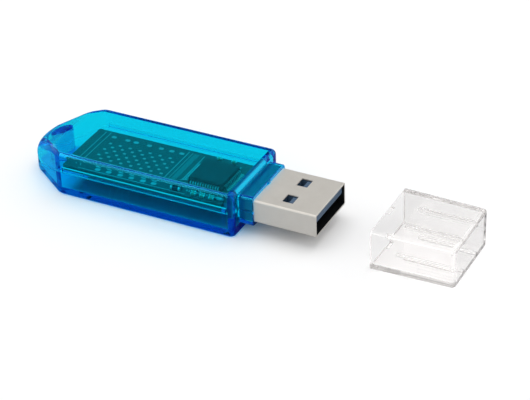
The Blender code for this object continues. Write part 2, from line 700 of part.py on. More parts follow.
def build():
    clear_scene()
    tools = case_tools()
    blue = blue_case_material()
    lower_shell(blue, tools)
    upper_shell(blue, tools)
    plug_shell(plug_metal_material())
    blue_plastic = tongue_material()
    plug_tongue(blue_plastic)
    plug_back(blue_plastic)
    gold = contact_material()
    for number, y in enumerate(USB2_CONTACT_Y, start=1):
        usb2_contact(number, y, gold)
    for number, y in enumerate(SUPERSPEED_CONTACT_Y, start=1):
        superspeed_contact(number, y, gold)
    circuit_board(board_material())
    black = chip_material()
    controller_chip(black)
    memory_chip(black)
    voltage_regulator(black)
    small_parts()
    cap(clear_cap_material())


build()
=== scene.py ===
import math

import bmesh
import bpy
from mathutils import Matrix, Vector


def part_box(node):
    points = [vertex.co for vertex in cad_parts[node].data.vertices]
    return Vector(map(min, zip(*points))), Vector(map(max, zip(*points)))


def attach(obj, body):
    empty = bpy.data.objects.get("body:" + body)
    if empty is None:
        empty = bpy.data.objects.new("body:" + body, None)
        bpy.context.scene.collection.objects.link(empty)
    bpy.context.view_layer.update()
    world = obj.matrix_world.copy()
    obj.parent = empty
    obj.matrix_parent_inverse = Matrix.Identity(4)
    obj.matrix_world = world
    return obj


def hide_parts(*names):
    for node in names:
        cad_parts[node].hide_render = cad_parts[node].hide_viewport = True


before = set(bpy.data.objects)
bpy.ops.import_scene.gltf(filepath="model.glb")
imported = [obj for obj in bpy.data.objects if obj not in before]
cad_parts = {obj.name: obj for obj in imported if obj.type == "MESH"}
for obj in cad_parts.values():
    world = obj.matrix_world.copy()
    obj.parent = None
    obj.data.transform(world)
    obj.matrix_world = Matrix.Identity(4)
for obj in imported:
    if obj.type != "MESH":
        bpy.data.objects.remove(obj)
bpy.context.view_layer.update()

MM = 0.001


def corners_of(name):
    low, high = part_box(name)
    return low.copy(), high.copy()


# ---------------- sizes, from the frame

LOWER_HIGH = corners_of("lower_shell")[1]
UPPER_HIGH = corners_of("upper_shell")[1]
PLUG_LOW, PLUG_HIGH = corners_of("plug_shell")
TONGUE_LOW, TONGUE_HIGH = corners_of("plug_tongue")
BOARD_LOW, BOARD_HIGH = corners_of("circuit_board")
CAP_LOW, CAP_HIGH = corners_of("cap")

HALF_WIDTH = LOWER_HIGH.y
CASE_HEIGHT = UPPER_HIGH.z
COLLAR_X = LOWER_HIGH.x
COLLAR_LENGTH = 2.6 * MM
FRONT_X = COLLAR_X - COLLAR_LENGTH
CREASE_X = -FRONT_X
PARTING_LOW_Z = 4.68 * MM
FIT_GAP = 0.03 * MM
LIP_TOP_Z = LOWER_HIGH.z
PLUG_Z = (PLUG_LOW.z + PLUG_HIGH.z) / 2
PLUG_BACK_X = FRONT_X - 1.7 * MM
PLUG_TIP_X = PLUG_HIGH.x
PLUG_SHEET = 0.3 * MM
PLUG_CORNER = 0.38 * MM
PLUG_SKIN = 0.2 * MM  # depth that still counts as the outside of the plug shell
# painted glow: clear plastic glows faintly on a ray that has bounced more than this many times
TRAPPED_DEPTH = 10.5  # bounces after which a ray counts as trapped in clear plastic

# Details of the case that its box doesn't give. The roof's slopes and the rounds are finer than the CAD's.
SIDE_WALL = 1.0 * MM
ROOF = 0.7 * MM
BASE = 1.2 * MM
FRONT_WALL = 1.4 * MM
TAIL_FACET_ANGLE = math.radians(35.3)
TAIL_TIP_RADIUS = 4.6 * MM
TAIL_SLOPES = (  # the two falls of the roof, each eased in over two steps
    (-19.6 * MM, 0.2),
    (-20.4 * MM, 0.395),
    (-24.6 * MM, 0.6),
    (-25.8 * MM, 1.0),
)
CREASE_ROUND = 3.0 * MM  # radius of the upright creases where the tail begins
FRONT_CORNER = 1.1 * MM
TOP_ROUND = 0.9 * MM
TIP_ROUND = 2.4 * MM  # what the round of the top edge grows to at the tip of the tail
BOTTOM_ROUND = 0.5 * MM
PARTING_TAIL = (
    (-21.0 * MM, 3.30 * MM),
    (-23.0 * MM, 2.65 * MM),
    (-25.0 * MM, 2.35 * MM),
)
POST_X = -22.0 * MM
POST_R = 2.0 * MM
COLLAR_HALF_WIDTH = 6.5 * MM
COLLAR_LOW_Z = 1.6 * MM
COLLAR_HIGH_Z = 7.6 * MM
COLLAR_CORNER = 0.9 * MM
LIP_OUTER_INSET = 0.50 * MM
LIP_INNER_INSET = 0.95 * MM
LIP_BACK_X = -17.0 * MM
LIP_ROOT = 0.6 * MM
SUPPORT_X = (-15.5 * MM, 13.2 * MM)
SUPPORT_LENGTH = 0.8 * MM
SUPPORT_HALF_WIDTH = 3.5 * MM
GROOVE_DEPTH = 0.12 * MM
GROOVE_HALF_HEIGHT = 0.07 * MM
INNER_ROUND = 0.5 * MM
TAIL_ARC_STEPS = 40
OVERSHOOT = 1.0 * MM
FAR = 0.1  # well past the whole object, for cutters
ROUND_STEPS = 9
COLLAR_EDGE_ROUND = 0.16 * MM
LIP_PLAY = 0.06 * MM
LIP_FRONT_GAP = 0.2 * MM
GATE_LENGTH = (0.3 * MM, 0.22 * MM)  # moulding mark: behind and in front of the face
GATE_HALF_WIDTH = 0.4 * MM
GATE_MARGIN = 0.05 * MM
GATE_ROUND = 0.08 * MM
ARC_STEPS = 8
FACET_STEPS = 20


# ---------------- node helpers

MIX_COLOR_A, MIX_COLOR_B, MIX_COLOR_RESULT = 6, 7, 2  # sockets of a Mix node that blends colours


def node(tree, kind):
    return tree.nodes.new("ShaderNode" + kind)


def set_input(made, label, value):
    """Give a node's input a number, a colour or the output of another node."""
    socket = made.inputs[label]
    if isinstance(value, bpy.types.NodeSocket):
        made.id_data.links.new(value, socket)
    elif socket.type == "RGBA":
        socket.default_value = (*value, 1.0)
    else:
        socket.default_value = value


def new_material(name):
    material = bpy.data.materials.new(name)
    material.use_nodes = True
    material.node_tree.nodes.clear()
    return material, material.node_tree


def position(tree, scale=(1.0, 1.0, 1.0)):
    """Object coordinates in millimetres, stretched by scale."""
    coordinates = node(tree, "TexCoord")
    mapping = node(tree, "Mapping")
    set_input(mapping, "Scale", tuple(1000.0 * s for s in scale))
    set_input(mapping, "Vector", coordinates.outputs["Object"])
    return mapping.outputs["Vector"]


def noise(tree, vector, scale, detail=3.0, roughness=0.55):
    made = node(tree, "TexNoise")
    set_input(made, "Scale", scale)
    set_input(made, "Detail", detail)
    set_input(made, "Roughness", roughness)
    set_input(made, "Vector", vector)
    return made.outputs["Fac"]


def remap(tree, value, source, target, eased=False):
    """Value moved from the range source to the range target, and held inside it."""
    made = node(tree, "MapRange")
    if eased:
        made.interpolation_type = "SMOOTHSTEP"
    labels = ("From Min", "From Max", "To Min", "To Max")
    for label, number in zip(labels, (*source, *target)):
        set_input(made, label, number)
    set_input(made, "Value", value)
    return made.outputs["Result"]


def spread(tree, value, low, high):
    """Noise, which stays near its middle, spread from low to high."""
    return remap(tree, value, (0.3, 0.7), (low, high))


def blend_colors(tree, factor, low, high):
    """Colour from low to high by factor."""
    made = node(tree, "Mix")
    made.data_type = "RGBA"
    set_input(made, 0, factor)
    set_input(made, MIX_COLOR_A, low)
    set_input(made, MIX_COLOR_B, high)
    return made.outputs[MIX_COLOR_RESULT]


def arithmetic(tree, operation, first, second=0.0):
    made = node(tree, "Math")
    made.operation = operation
    set_input(made, 0, first)
    set_input(made, 1, second)
    return made.outputs[0]


def separate(tree, vector):
    made = node(tree, "SeparateXYZ")
    set_input(made, 0, vector)
    return made.outputs


def bump(tree, height, strength, distance):
    made = node(tree, "Bump")
    set_input(made, "Strength", strength)
    set_input(made, "Distance", distance)
    set_input(made, "Height", height)
    return made.outputs["Normal"]


def mixed(tree, share, first, second):
    made = node(tree, "MixShader")
    for index, value in enumerate((share, first, second)):
        set_input(made, index, value)
    return made.outputs[0]


def principled(tree, color, roughness, metallic=0.0, normal=None, ior=1.5, specular=0.5):
    shader = node(tree, "BsdfPrincipled")
    set_input(shader, "Base Color", color)
    set_input(shader, "Roughness", roughness)
    set_input(shader, "Metallic", metallic)
    set_input(shader, "IOR", ior)
    set_input(shader, "Specular IOR Level", specular)
    if normal is not None:
        set_input(shader, "Normal", normal)
    return shader


def output(tree, surface, volume=None):
    made = node(tree, "OutputMaterial")
    set_input(made, "Surface", surface)
    if volume is not None:
        set_input(made, "Volume", volume)


# ---------------- materials

def clear_moulding(name, tint, shadow_tint, gleam, absorbs, density, roughness, ripple, ior, painted_glow):
    """Transparent moulded plastic: refracts, absorbs by thickness, and lets lamp light through.

    A ray that has bounced about inside the walls many times ends in a faint painted glow, which stands in for
    the light that the bounce limit cuts off."""
    material, tree = new_material(name)
    place = position(tree)
    flow = noise(tree, place, 0.35, 2.0)
    normal = bump(tree, flow, ripple, 0.0003)
    polish = spread(tree, noise(tree, place, 1.3, 4.0), roughness * 0.6, roughness * 1.5)
    shader = principled(tree, tint, polish, normal=normal, ior=ior)
    set_input(shader, "Transmission Weight", 1.0)
    set_input(shader, "Specular Tint", gleam)
    path = node(tree, "LightPath")
    # painted glow: emission on rays past TRAPPED_DEPTH bounces, in place of the light they would still carry
    set_input(shader, "Emission Color", painted_glow)
    many = arithmetic(tree, "GREATER_THAN", path.outputs["Ray Depth"], TRAPPED_DEPTH)
    set_input(shader, "Emission Strength", many)
    passing = node(tree, "BsdfTransparent")
    set_input(passing, "Color", shadow_tint)
    surface = mixed(tree, path.outputs["Is Shadow Ray"], shader.outputs[0], passing.outputs[0])
    absorption = node(tree, "VolumeAbsorption")
    set_input(absorption, "Color", absorbs)
    set_input(absorption, "Density", density)
    output(tree, surface, absorption.outputs[0])
    return material


def blue_moulding():
    return clear_moulding(
        "blue_moulding", tint=(0.14, 0.90, 0.97), shadow_tint=(0.40, 0.76, 0.88), gleam=(0.03, 0.65, 0.90),
        absorbs=(0.0, 0.894, 0.965), density=1300.0, roughness=0.03, ripple=0.008, ior=1.42,
        painted_glow=(0.002, 0.05, 0.17))


def crystal_moulding():
    return clear_moulding(
        "crystal_moulding", tint=(0.975, 0.97, 0.967), shadow_tint=(0.97, 0.97, 0.97), gleam=(1.0, 1.0, 1.0),
        absorbs=(0.96, 0.958, 0.957), density=850.0, roughness=0.025, ripple=0.01, ior=1.5,
        painted_glow=(0.3, 0.3, 0.3))


def open_metal(tree):
    """Two masks: 1 in front of the collar, and 1 on the faces of the plug shell that face outwards."""
    coordinates = node(tree, "TexCoord")
    x, y, z = separate(tree, coordinates.outputs["Object"])
    beyond_side = arithmetic(tree, "GREATER_THAN", arithmetic(tree, "ABSOLUTE", y),
                             PLUG_HIGH.y - PLUG_SKIN)
    off_middle = arithmetic(tree, "ABSOLUTE", arithmetic(tree, "SUBTRACT", z, PLUG_Z))
    beyond_flat = arithmetic(tree, "GREATER_THAN", off_middle, PLUG_HIGH.z - PLUG_Z - PLUG_SKIN)
    at_mouth = arithmetic(tree, "GREATER_THAN", x, PLUG_TIP_X - FIT_GAP)
    outside = arithmetic(tree, "MAXIMUM", arithmetic(tree, "MAXIMUM", beyond_side, beyond_flat), at_mouth)
    in_front = arithmetic(tree, "GREATER_THAN", x, COLLAR_X)
    return in_front, outside


def nickel():
    """Satin plating with painted shade: dark blue and without shine where the shell is inside the case, and
    near black and without shine on its inner faces.
    """
    material, tree = new_material("satin_nickel")
    along = position(tree, (0.06, 1.0, 1.0))
    grain = noise(tree, along, 9.0, 4.0, 0.65)
    cloud = noise(tree, position(tree), 0.5, 3.0)
    bright = blend_colors(tree, cloud, (0.68, 0.65, 0.60), (0.75, 0.725, 0.675))
    in_front, outside = open_metal(tree)
    # painted shade: dark blue on the part of the shell inside the case
    color = blend_colors(tree, in_front, (0.05, 0.16, 0.26), bright)
    # painted shade: near black on the inner faces of the shell
    color = blend_colors(tree, outside, (0.012, 0.013, 0.014), color)
    polish = spread(tree, grain, 0.30, 0.44)
    normal = bump(tree, grain, 0.10, 0.00004)
    # shine only on the open outer faces; where shade is painted there is none
    shine = arithmetic(tree, "MULTIPLY", arithmetic(tree, "MULTIPLY", in_front, outside), 0.5)
    shader = principled(tree, color, polish, 0.45, normal, specular=shine)
    output(tree, shader.outputs[0])
    return material


def plated(name, low, high, low_rough, high_rough, tail=None):
    """Plating with soft variation. With tail, what lies inside the case has that other colour."""
    material, tree = new_material(name)
    place = position(tree)
    cloud = noise(tree, place, 2.2, 3.0)
    color = blend_colors(tree, cloud, low, high)
    if tail is not None:
        color = blend_colors(tree, open_metal(tree)[0], tail, color)
    polish = spread(tree, noise(tree, place, 5.0, 3.0), low_rough, high_rough)
    normal = bump(tree, noise(tree, place, 7.0, 2.0), 0.15, 0.00003)
    shader = principled(tree, color, polish, 1.0, normal)
    output(tree, shader.outputs[0])
    return material


def moulded(name, low, high, low_rough, high_rough, grain_scale=9.0, grain=0.2):
    material, tree = new_material(name)
    place = position(tree)
    color = blend_colors(tree, noise(tree, place, 1.6, 4.0), low, high)
    fine = noise(tree, place, grain_scale, 4.0, 0.7)
    polish = spread(tree, fine, low_rough, high_rough)
    normal = bump(tree, fine, grain, 0.00004)
    shader = principled(tree, color, polish, 0.0, normal, specular=0.2)
    output(tree, shader.outputs[0])
    return material


def ribbed_blue():
    """Slate-blue tongue plastic with fine upright mould lines across its width."""
    material, tree = new_material("tongue_blue")
    place = position(tree)
    wave = node(tree, "TexWave")
    wave.bands_direction = "Y"
    set_input(wave, "Scale", 0.55)
    set_input(wave, "Distortion", 0.6)
    set_input(wave, "Vector", place)
    color = blend_colors(tree, wave.outputs["Fac"], (0.045, 0.085, 0.15), (0.075, 0.135, 0.22))
    normal = bump(tree, wave.outputs["Fac"], 0.35, 0.00005)
    shader = principled(tree, color, 0.42, 0.0, normal)
    output(tree, shader.outputs[0])
    return material


def solder_mask():
    """Green lacquer over copper: shapes of buried traces show as a faint change of shade."""
    material, tree = new_material("solder_mask")
    place = position(tree)
    cells = node(tree, "TexBrick")
    set_input(cells, "Scale", 0.42)
    set_input(cells, "Color1", (0.35, 0.35, 0.35))
    set_input(cells, "Color2", (0.65, 0.65, 0.65))
    set_input(cells, "Mortar", (1.0, 1.0, 1.0))
    set_input(cells, "Mortar Size", 0.035)
    set_input(cells, "Vector", place)
    cloud = noise(tree, place, 0.45, 4.0)
    lift = arithmetic(tree, "MULTIPLY", cells.outputs["Fac"], cloud)
    shade = blend_colors(tree, cloud, (0.006, 0.058, 0.057), (0.008, 0.087, 0.083))
    traces = blend_colors(tree, lift, shade, (0.012, 0.11, 0.10))
    polish = spread(tree, noise(tree, place, 4.0, 3.0), 0.28, 0.42)
    normal = bump(tree, cells.outputs["Fac"], 0.25, 0.00004)
    shader = principled(tree, traces, polish, 0.0, normal, specular=0.15)
    output(tree, shader.outputs[0])
    return material


def lamp_lens():
    material, tree = new_material("lamp_lens")
    place = position(tree)
    color = blend_colors(tree, noise(tree, place, 3.0, 3.0), (0.72, 0.75, 0.66), (0.86, 0.88, 0.80))
    shader = principled(tree, color, 0.18)
    set_input(shader, "Subsurface Weight", 0.3)
    set_input(shader, "Subsurface Scale", 0.0006)
    output(tree, shader.outputs[0])
    return material


# ---------------- mesh helpers

def prism(outline, low, high, axis="Z"):
    place = {
        "X": lambda a, b, height: (height, a, b),
        "Y": lambda a, b, height: (a, height, b),
        "Z": lambda a, b, height: (a, b, height),
    }[axis]
    builder = bmesh.new()
    low_ring = [builder.verts.new(place(a, b, low)) for a, b in outline]
    high_ring = [builder.verts.new(place(a, b, high)) for a, b in outline]
    builder.faces.new(low_ring)
    builder.faces.new(high_ring)
    for index in range(len(outline)):
        following = (index + 1) % len(outline)
        builder.faces.new((low_ring[index], low_ring[following], high_ring[following], high_ring[index]))
    bmesh.ops.recalc_face_normals(builder, faces=builder.faces)
    return builder


def box(x_range, y_range, z_range):
    x_range, y_range, z_range = sorted(x_range), sorted(y_range), sorted(z_range)
    outline = [(x_range[0], y_range[0]), (x_range[1], y_range[0]),
               (x_range[1], y_range[1]), (x_range[0], y_range[1])]
    return prism(outline, z_range[0], z_range[1])


def cylinder(centre_x, centre_y, radius, low, high, steps=64):
    angles = [2 * math.pi * step / steps for step in range(steps)]
    outline = [(centre_x + radius * math.cos(a), centre_y + radius * math.sin(a)) for a in angles]
    return prism(outline, low, high)


def rounded_outline(half_a, low_b, high_b, radius, steps=8):
    outline = []
    for side, level, start in ((1, high_b, 0), (-1, high_b, 90), (-1, low_b, 180), (1, low_b, 270)):
        centre_a = side * (half_a - radius)
        centre_b = level - radius if level == high_b else level + radius
        for step in range(steps + 1):
            angle = math.radians(start + 90 * step / steps)
            outline.append((centre_a + radius * math.cos(angle), centre_b + radius * math.sin(angle)))
    return outline


def round_edges(builder, edges, width, segments):
    bmesh.ops.bevel(builder, geom=edges, offset=width, offset_type="OFFSET", segments=segments,
                    profile=0.5, affect="EDGES", clamp_overlap=True)


def rounded_block(builder, width, segments, angle=math.radians(40)):
    """Round every edge of a builder that is sharper than angle."""
    edges = [edge for edge in builder.edges if edge.calc_face_angle(0.0) > angle]
    round_edges(builder, edges, width, segments)
    return builder


def slope_the_tail(builder, roof_z):
    """Cut away what stands above the planes that fall towards -X from roof_z."""
    level = roof_z
    last_x, last_slope = TAIL_SLOPES[0]
    for start_x, slope in TAIL_SLOPES:
        level -= (last_x - start_x) * last_slope
        normal = Vector((-slope, 0.0, 1.0)).normalized()
        geometry = builder.verts[:] + builder.edges[:] + builder.faces[:]
        bmesh.ops.bisect_plane(builder, geom=geometry, dist=1e-7, plane_co=(start_x, 0.0, level),
                               plane_no=normal, clear_outer=True)
        open_edges = [edge for edge in builder.edges if edge.is_boundary]
        bmesh.ops.contextual_create(builder, geom=open_edges)
        last_x, last_slope = start_x, slope
    bmesh.ops.recalc_face_normals(builder, faces=builder.faces)
    return builder


def as_object(name, builder):
    mesh = bpy.data.meshes.new(name)
    builder.to_mesh(mesh)
    builder.free()
    thing = bpy.data.objects.new(name, mesh)
    bpy.context.scene.collection.objects.link(thing)
    return thing


def add_to(builder, piece):
    """Move the mesh of one builder into another."""
    mesh = bpy.data.meshes.new("addition")
    piece.to_mesh(mesh)
    piece.free()
    builder.from_mesh(mesh)
    bpy.data.meshes.remove(mesh)


def carved(name, builder, steps):
    """Solid made of a base and a list of ("cut" or "join", builder) steps."""
    thing = as_object(name, builder)
    tools = []
    for number, (action, tool_builder) in enumerate(steps):
        tool = as_object(f"{name}_tool_{number}", tool_builder)
        modifier = thing.modifiers.new(f"step_{number}", "BOOLEAN")
        modifier.operation = "DIFFERENCE" if action == "cut" else "UNION"
        modifier.object = tool
        tools.append(tool)
    apply_modifiers(thing)
    for tool in tools:
        bpy.data.objects.remove(tool, do_unlink=True)
    return thing


def apply_modifiers(thing):
    graph = bpy.context.evaluated_depsgraph_get()
    mesh = bpy.data.meshes.new_from_object(thing.evaluated_get(graph))
    thing.modifiers.clear()
    thing.data = mesh


def smooth(thing, angle=30.0):
    thing.data.shade_smooth()
    thing.data.set_sharp_from_angle(angle=math.radians(angle))
    modifier = thing.modifiers.new("flat_faces_first", "WEIGHTED_NORMAL")
    modifier.keep_sharp = True
    modifier.weight = 90


def dress(thing, material, slot, body, *nodes):
    """Smooth a piece, give it its material, and put it on a body in place of CAD nodes. The slot is not used.
    """
    smooth(thing)
    thing.data.materials.clear()
    thing.data.materials.append(material)
    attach(thing, body)
    if nodes:
        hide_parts(*nodes)


# ---------------- case

TIP_CENTRE_X = (CREASE_X + TAIL_TIP_RADIUS * math.sin(TAIL_FACET_ANGLE)
                - (HALF_WIDTH - TAIL_TIP_RADIUS * math.cos(TAIL_FACET_ANGLE)) / math.tan(TAIL_FACET_ANGLE))


def facet_start(inset):
    radius = TAIL_TIP_RADIUS - inset
    return TIP_CENTRE_X - radius * math.sin(TAIL_FACET_ANGLE), radius * math.cos(TAIL_FACET_ANGLE)


def crease_x(inset):
    x, y = facet_start(inset)
    return x + (HALF_WIDTH - inset - y) / math.tan(TAIL_FACET_ANGLE)


def case_outline(inset, front_x):
    half = HALF_WIDTH - inset
    radius = TAIL_TIP_RADIUS - inset
    outline = [(front_x, -half), (front_x, half), (crease_x(inset), half)]
    first = math.pi / 2 + TAIL_FACET_ANGLE
    sweep = math.pi - 2 * TAIL_FACET_ANGLE
    for step in range(TAIL_ARC_STEPS + 1):
        angle = first + sweep * step / TAIL_ARC_STEPS
        outline.append((TIP_CENTRE_X + radius * math.cos(angle), radius * math.sin(angle)))
    outline.append((crease_x(inset), -half))
    return outline


def parting_line(far, lift):
    """Side view of the parting line, in X and Z, from the tail to the front."""
    tail = [(x, z + lift) for x, z in reversed(PARTING_TAIL)]
    return [(-far, tail[0][1])] + tail + [(CREASE_X, PARTING_LOW_Z + lift), (far, PARTING_LOW_Z + lift)]


def beyond_parting(lift, up):
    """Cutter for everything above the parting line, or below it if up is -1."""
    return prism(parting_line(FAR, lift) + [(FAR, up * FAR), (-FAR, up * FAR)], -FAR, FAR, "Y")


def groove():
    """Ring that cuts the narrow seam groove along the parting line."""
    low = parting_line(FAR, FIT_GAP / 2 - GROOVE_HALF_HEIGHT)
    high = parting_line(FAR, FIT_GAP / 2 + GROOVE_HALF_HEIGHT)
    inner = prism(case_outline(GROOVE_DEPTH, FRONT_X + OVERSHOOT), -OVERSHOOT, CASE_HEIGHT)
    band = carved("groove_band", prism(low + high[::-1], -FAR, FAR, "Y"), [("cut", inner)])
    builder = bmesh.new()
    builder.from_mesh(band.data)
    bpy.data.objects.remove(band, do_unlink=True)
    return builder


def case_steps():
    collar_outline = rounded_outline(COLLAR_HALF_WIDTH, COLLAR_LOW_Z, COLLAR_HIGH_Z, COLLAR_CORNER)
    collar = prism(collar_outline, FRONT_X - FRONT_WALL / 2, COLLAR_X, "X")
    rounded_block(collar, COLLAR_EDGE_ROUND, 3)
    cavity = prism(case_outline(SIDE_WALL, FRONT_X - FRONT_WALL), BASE, CASE_HEIGHT - ROOF)
    slope_the_tail(cavity, CASE_HEIGHT - ROOF * 1.1)
    rounded_block(cavity, INNER_ROUND, 4)
    opening_outline = rounded_outline(PLUG_HIGH.y + FIT_GAP, PLUG_LOW.z - FIT_GAP,
                                      PLUG_HIGH.z + FIT_GAP, PLUG_CORNER)
    opening = prism(opening_outline, PLUG_BACK_X - OVERSHOOT, COLLAR_X + OVERSHOOT, "X")
    post = slope_the_tail(cylinder(POST_X, 0.0, POST_R, BASE / 2, CASE_HEIGHT), CASE_HEIGHT - ROOF / 2)
    return [("join", collar), ("cut", cavity), ("join", post), ("cut", opening), ("cut", groove())]


def roof_height(x):
    level = CASE_HEIGHT
    ends = [fall[0] for fall in TAIL_SLOPES[1:]] + [-FAR]
    for (start, slope), end in zip(TAIL_SLOPES, ends):
        level -= max(0.0, start - max(x, end)) * slope
    return level


def arc(centre_x, centre_y, radius, first, last, steps):
    """Points of an arc, each with the direction that leads inwards from it."""
    points = []
    for step in range(steps + 1):
        angle = first + (last - first) * step / steps
        along = Vector((math.cos(angle), math.sin(angle)))
        points.append((Vector((centre_x, centre_y)) + along * radius, -along))
    return points


def case_track():
    """Half outline of the case, from the middle of the front round to the tip, with inward directions."""
    quarter = math.pi / 2
    turned = quarter + TAIL_FACET_ANGLE
    crease_start = crease_x(0.0) + CREASE_ROUND * math.tan(TAIL_FACET_ANGLE / 2)
    corner = arc(FRONT_X - FRONT_CORNER, HALF_WIDTH - FRONT_CORNER, FRONT_CORNER, 0.0, quarter, ARC_STEPS)
    crease = arc(crease_start, HALF_WIDTH - CREASE_ROUND, CREASE_ROUND, quarter, turned, ARC_STEPS)
    tip = arc(TIP_CENTRE_X, 0.0, TAIL_TIP_RADIUS, turned, math.pi, TAIL_ARC_STEPS // 2)
    facet = [(crease[-1][0].lerp(tip[0][0], step / FACET_STEPS), tip[0][1])
             for step in range(1, FACET_STEPS)]
    return [(Vector((FRONT_X, 0.0)), Vector((-1.0, 0.0)))] + corner + crease + facet + tip


def ring(builder, track, depth_and_height):
    """Closed loop of corners round the case. depth_and_height gives inset and Z for a point of the track."""
    half = []
    for point, inward in track:
        inset, height = depth_and_height(point)
        place = point + inward * inset
        half.append((place.x, place.y, height(place.x)))
    near = [(x, -y, z) for x, y, z in half[-2:0:-1]]
    return [builder.verts.new(corner) for corner in half + near]


def case_block():
    """Outside of the case: upright walls, a small round below, and a round above that grows on the tail."""
    builder = bmesh.new()
    track = case_track()
    tip_x = track[-1][0].x
    angles = [math.pi / 2 * step / ROUND_STEPS for step in range(ROUND_STEPS + 1)]

    def below(angle):
        inset = BOTTOM_ROUND * (1 - math.cos(angle))
        return lambda point: (inset, lambda x: BOTTOM_ROUND * (1 - math.sin(angle)))

    def above(angle):
        def place(point):
            share = min(1.0, max(0.0, (CREASE_X - point.x) / (CREASE_X - tip_x)))
            radius = TOP_ROUND + (TIP_ROUND - TOP_ROUND) * share
            return (radius * (1 - math.cos(angle)),
                    lambda x: roof_height(x) - radius * (1 - math.sin(angle)))
        return place

    rings = [ring(builder, track, below(angle)) for angle in reversed(angles)]
    rings += [ring(builder, track, above(angle)) for angle in angles]
    count = len(rings[0])
    for low, high in zip(rings, rings[1:]):
        for index in range(count):
            following = (index + 1) % count
            builder.faces.new((low[index], low[following], high[following], high[index]))
    builder.faces.new(rings[0])
    roof = rings[-1]
    for index in range(len(track) - 1):
        across = roof[(count - index - 1) % count], roof[(count - index) % count]
        strip = [roof[index], roof[index + 1], *across]
        builder.faces.new(list(dict.fromkeys(strip)))
    bmesh.ops.recalc_face_normals(builder, faces=builder.faces)
    return builder


def lip_box(side, play, low, high):
    """Lip along the top of one side wall, or with play around it the rebate that takes it."""
    x_range = (LIP_BACK_X - play, FRONT_X - FRONT_WALL - LIP_FRONT_GAP + play)
    inner_inset = LIP_INNER_INSET if play == 0.0 else SIDE_WALL + play
    y_range = (side * (HALF_WIDTH - inner_inset), side * (HALF_WIDTH - LIP_OUTER_INSET + play))
    return box(x_range, y_range, (low, high))


def lower_case(material):
    steps = case_steps()
    steps.append(("cut", beyond_parting(0.0, 1)))
    for side in (-1, 1):
        steps.append(("join", lip_box(side, 0.0, PARTING_LOW_Z - LIP_ROOT, LIP_TOP_Z)))
    for x in SUPPORT_X:
        rib = box((x - SUPPORT_LENGTH / 2, x + SUPPORT_LENGTH / 2),
                  (-SUPPORT_HALF_WIDTH, SUPPORT_HALF_WIDTH), (BASE / 2, BOARD_LOW.z - FIT_GAP))
        steps.append(("join", rib))
    half = carved("case_lower", case_block(), steps)
    dress(half, material, "blue_case", "stick", "lower_shell")


def upper_case(material):
    steps = case_steps()
    steps.append(("cut", beyond_parting(FIT_GAP, -1)))
    for side in (-1, 1):
        steps.append(("cut", lip_box(side, LIP_PLAY, 0.0, LIP_TOP_Z + LIP_PLAY)))
    gate = box((COLLAR_X - GATE_LENGTH[0], COLLAR_X + GATE_LENGTH[1]), (-GATE_HALF_WIDTH, GATE_HALF_WIDTH),
               (PLUG_HIGH.z + GATE_MARGIN, COLLAR_HIGH_Z - GATE_MARGIN))
    steps.append(("join", rounded_block(gate, GATE_ROUND, 2)))
    half = carved("case_upper", case_block(), steps)
    dress(half, material, "blue_case", "stick", "upper_shell")


# ---------------- plug

WINDOW_FRONT_X = PLUG_TIP_X - 5.3 * MM
WINDOW_LENGTH = 2.1 * MM
WINDOW_HALF_WIDTH = 1.25 * MM
WINDOW_CORNER = 0.12 * MM
WINDOW_Y = 2.85 * MM
PLUG_EDGE_ROUND = 0.07 * MM
LEG_INSETS = (0.27 * MM, 0.02 * MM)
LEG_ROOT = 0.5 * MM
LEG_BELOW = 0.6 * MM  # how far a leg reaches below and above the middle of the plug
LEG_ABOVE = 0.4 * MM
SEAM_HALF_WIDTH = 0.04 * MM
SEAM_DEPTH = 0.12 * MM
TONGUE_ROUND = 0.16 * MM
POCKET_BACK = 2.3 * MM  # pockets under the windows: their ends, behind the windows' front
POCKET_FRONT = 1.0 * MM
POCKET_SIDES = (1.5 * MM, 4.2 * MM)
POCKET_DEPTH = 1.2 * MM


def plug_housing(material):
    """Open folded tube with four latch windows, two legs at its back and the fold's seam below."""
    outer = rounded_outline(PLUG_HIGH.y, PLUG_LOW.z, PLUG_HIGH.z, PLUG_CORNER)
    inner = rounded_outline(PLUG_HIGH.y - PLUG_SHEET, PLUG_LOW.z + PLUG_SHEET, PLUG_HIGH.z - PLUG_SHEET,
                            PLUG_CORNER - PLUG_SHEET)
    tube = prism(outer, PLUG_BACK_X, PLUG_TIP_X, "X")
    rounded_block(tube, PLUG_EDGE_ROUND, 3, math.radians(60))
    steps = [("cut", prism(inner, PLUG_BACK_X - OVERSHOOT, PLUG_TIP_X + OVERSHOOT, "X"))]
    window = rounded_outline(WINDOW_HALF_WIDTH, WINDOW_FRONT_X - WINDOW_LENGTH, WINDOW_FRONT_X,
                             WINDOW_CORNER, steps=4)
    for side in (-1, 1):
        outline = [(x, y + side * WINDOW_Y) for y, x in window]
        steps.append(("cut", prism(outline, PLUG_LOW.z - OVERSHOOT, PLUG_HIGH.z + OVERSHOOT)))
        leg_y = tuple(side * (PLUG_HIGH.y - inset) for inset in LEG_INSETS)
        leg = box((PLUG_LOW.x, PLUG_BACK_X + LEG_ROOT), leg_y, (PLUG_Z - LEG_BELOW, PLUG_Z + LEG_ABOVE))
        steps.append(("join", leg))
    seam = box((PLUG_BACK_X - OVERSHOOT, PLUG_TIP_X + OVERSHOOT), (-SEAM_HALF_WIDTH, SEAM_HALF_WIDTH),
               (PLUG_LOW.z - OVERSHOOT, PLUG_LOW.z + SEAM_DEPTH))
    steps.append(("cut", seam))
    shell = carved("plug_housing", tube, steps)
    dress(shell, material, "plug_metal", "stick", "plug_shell")


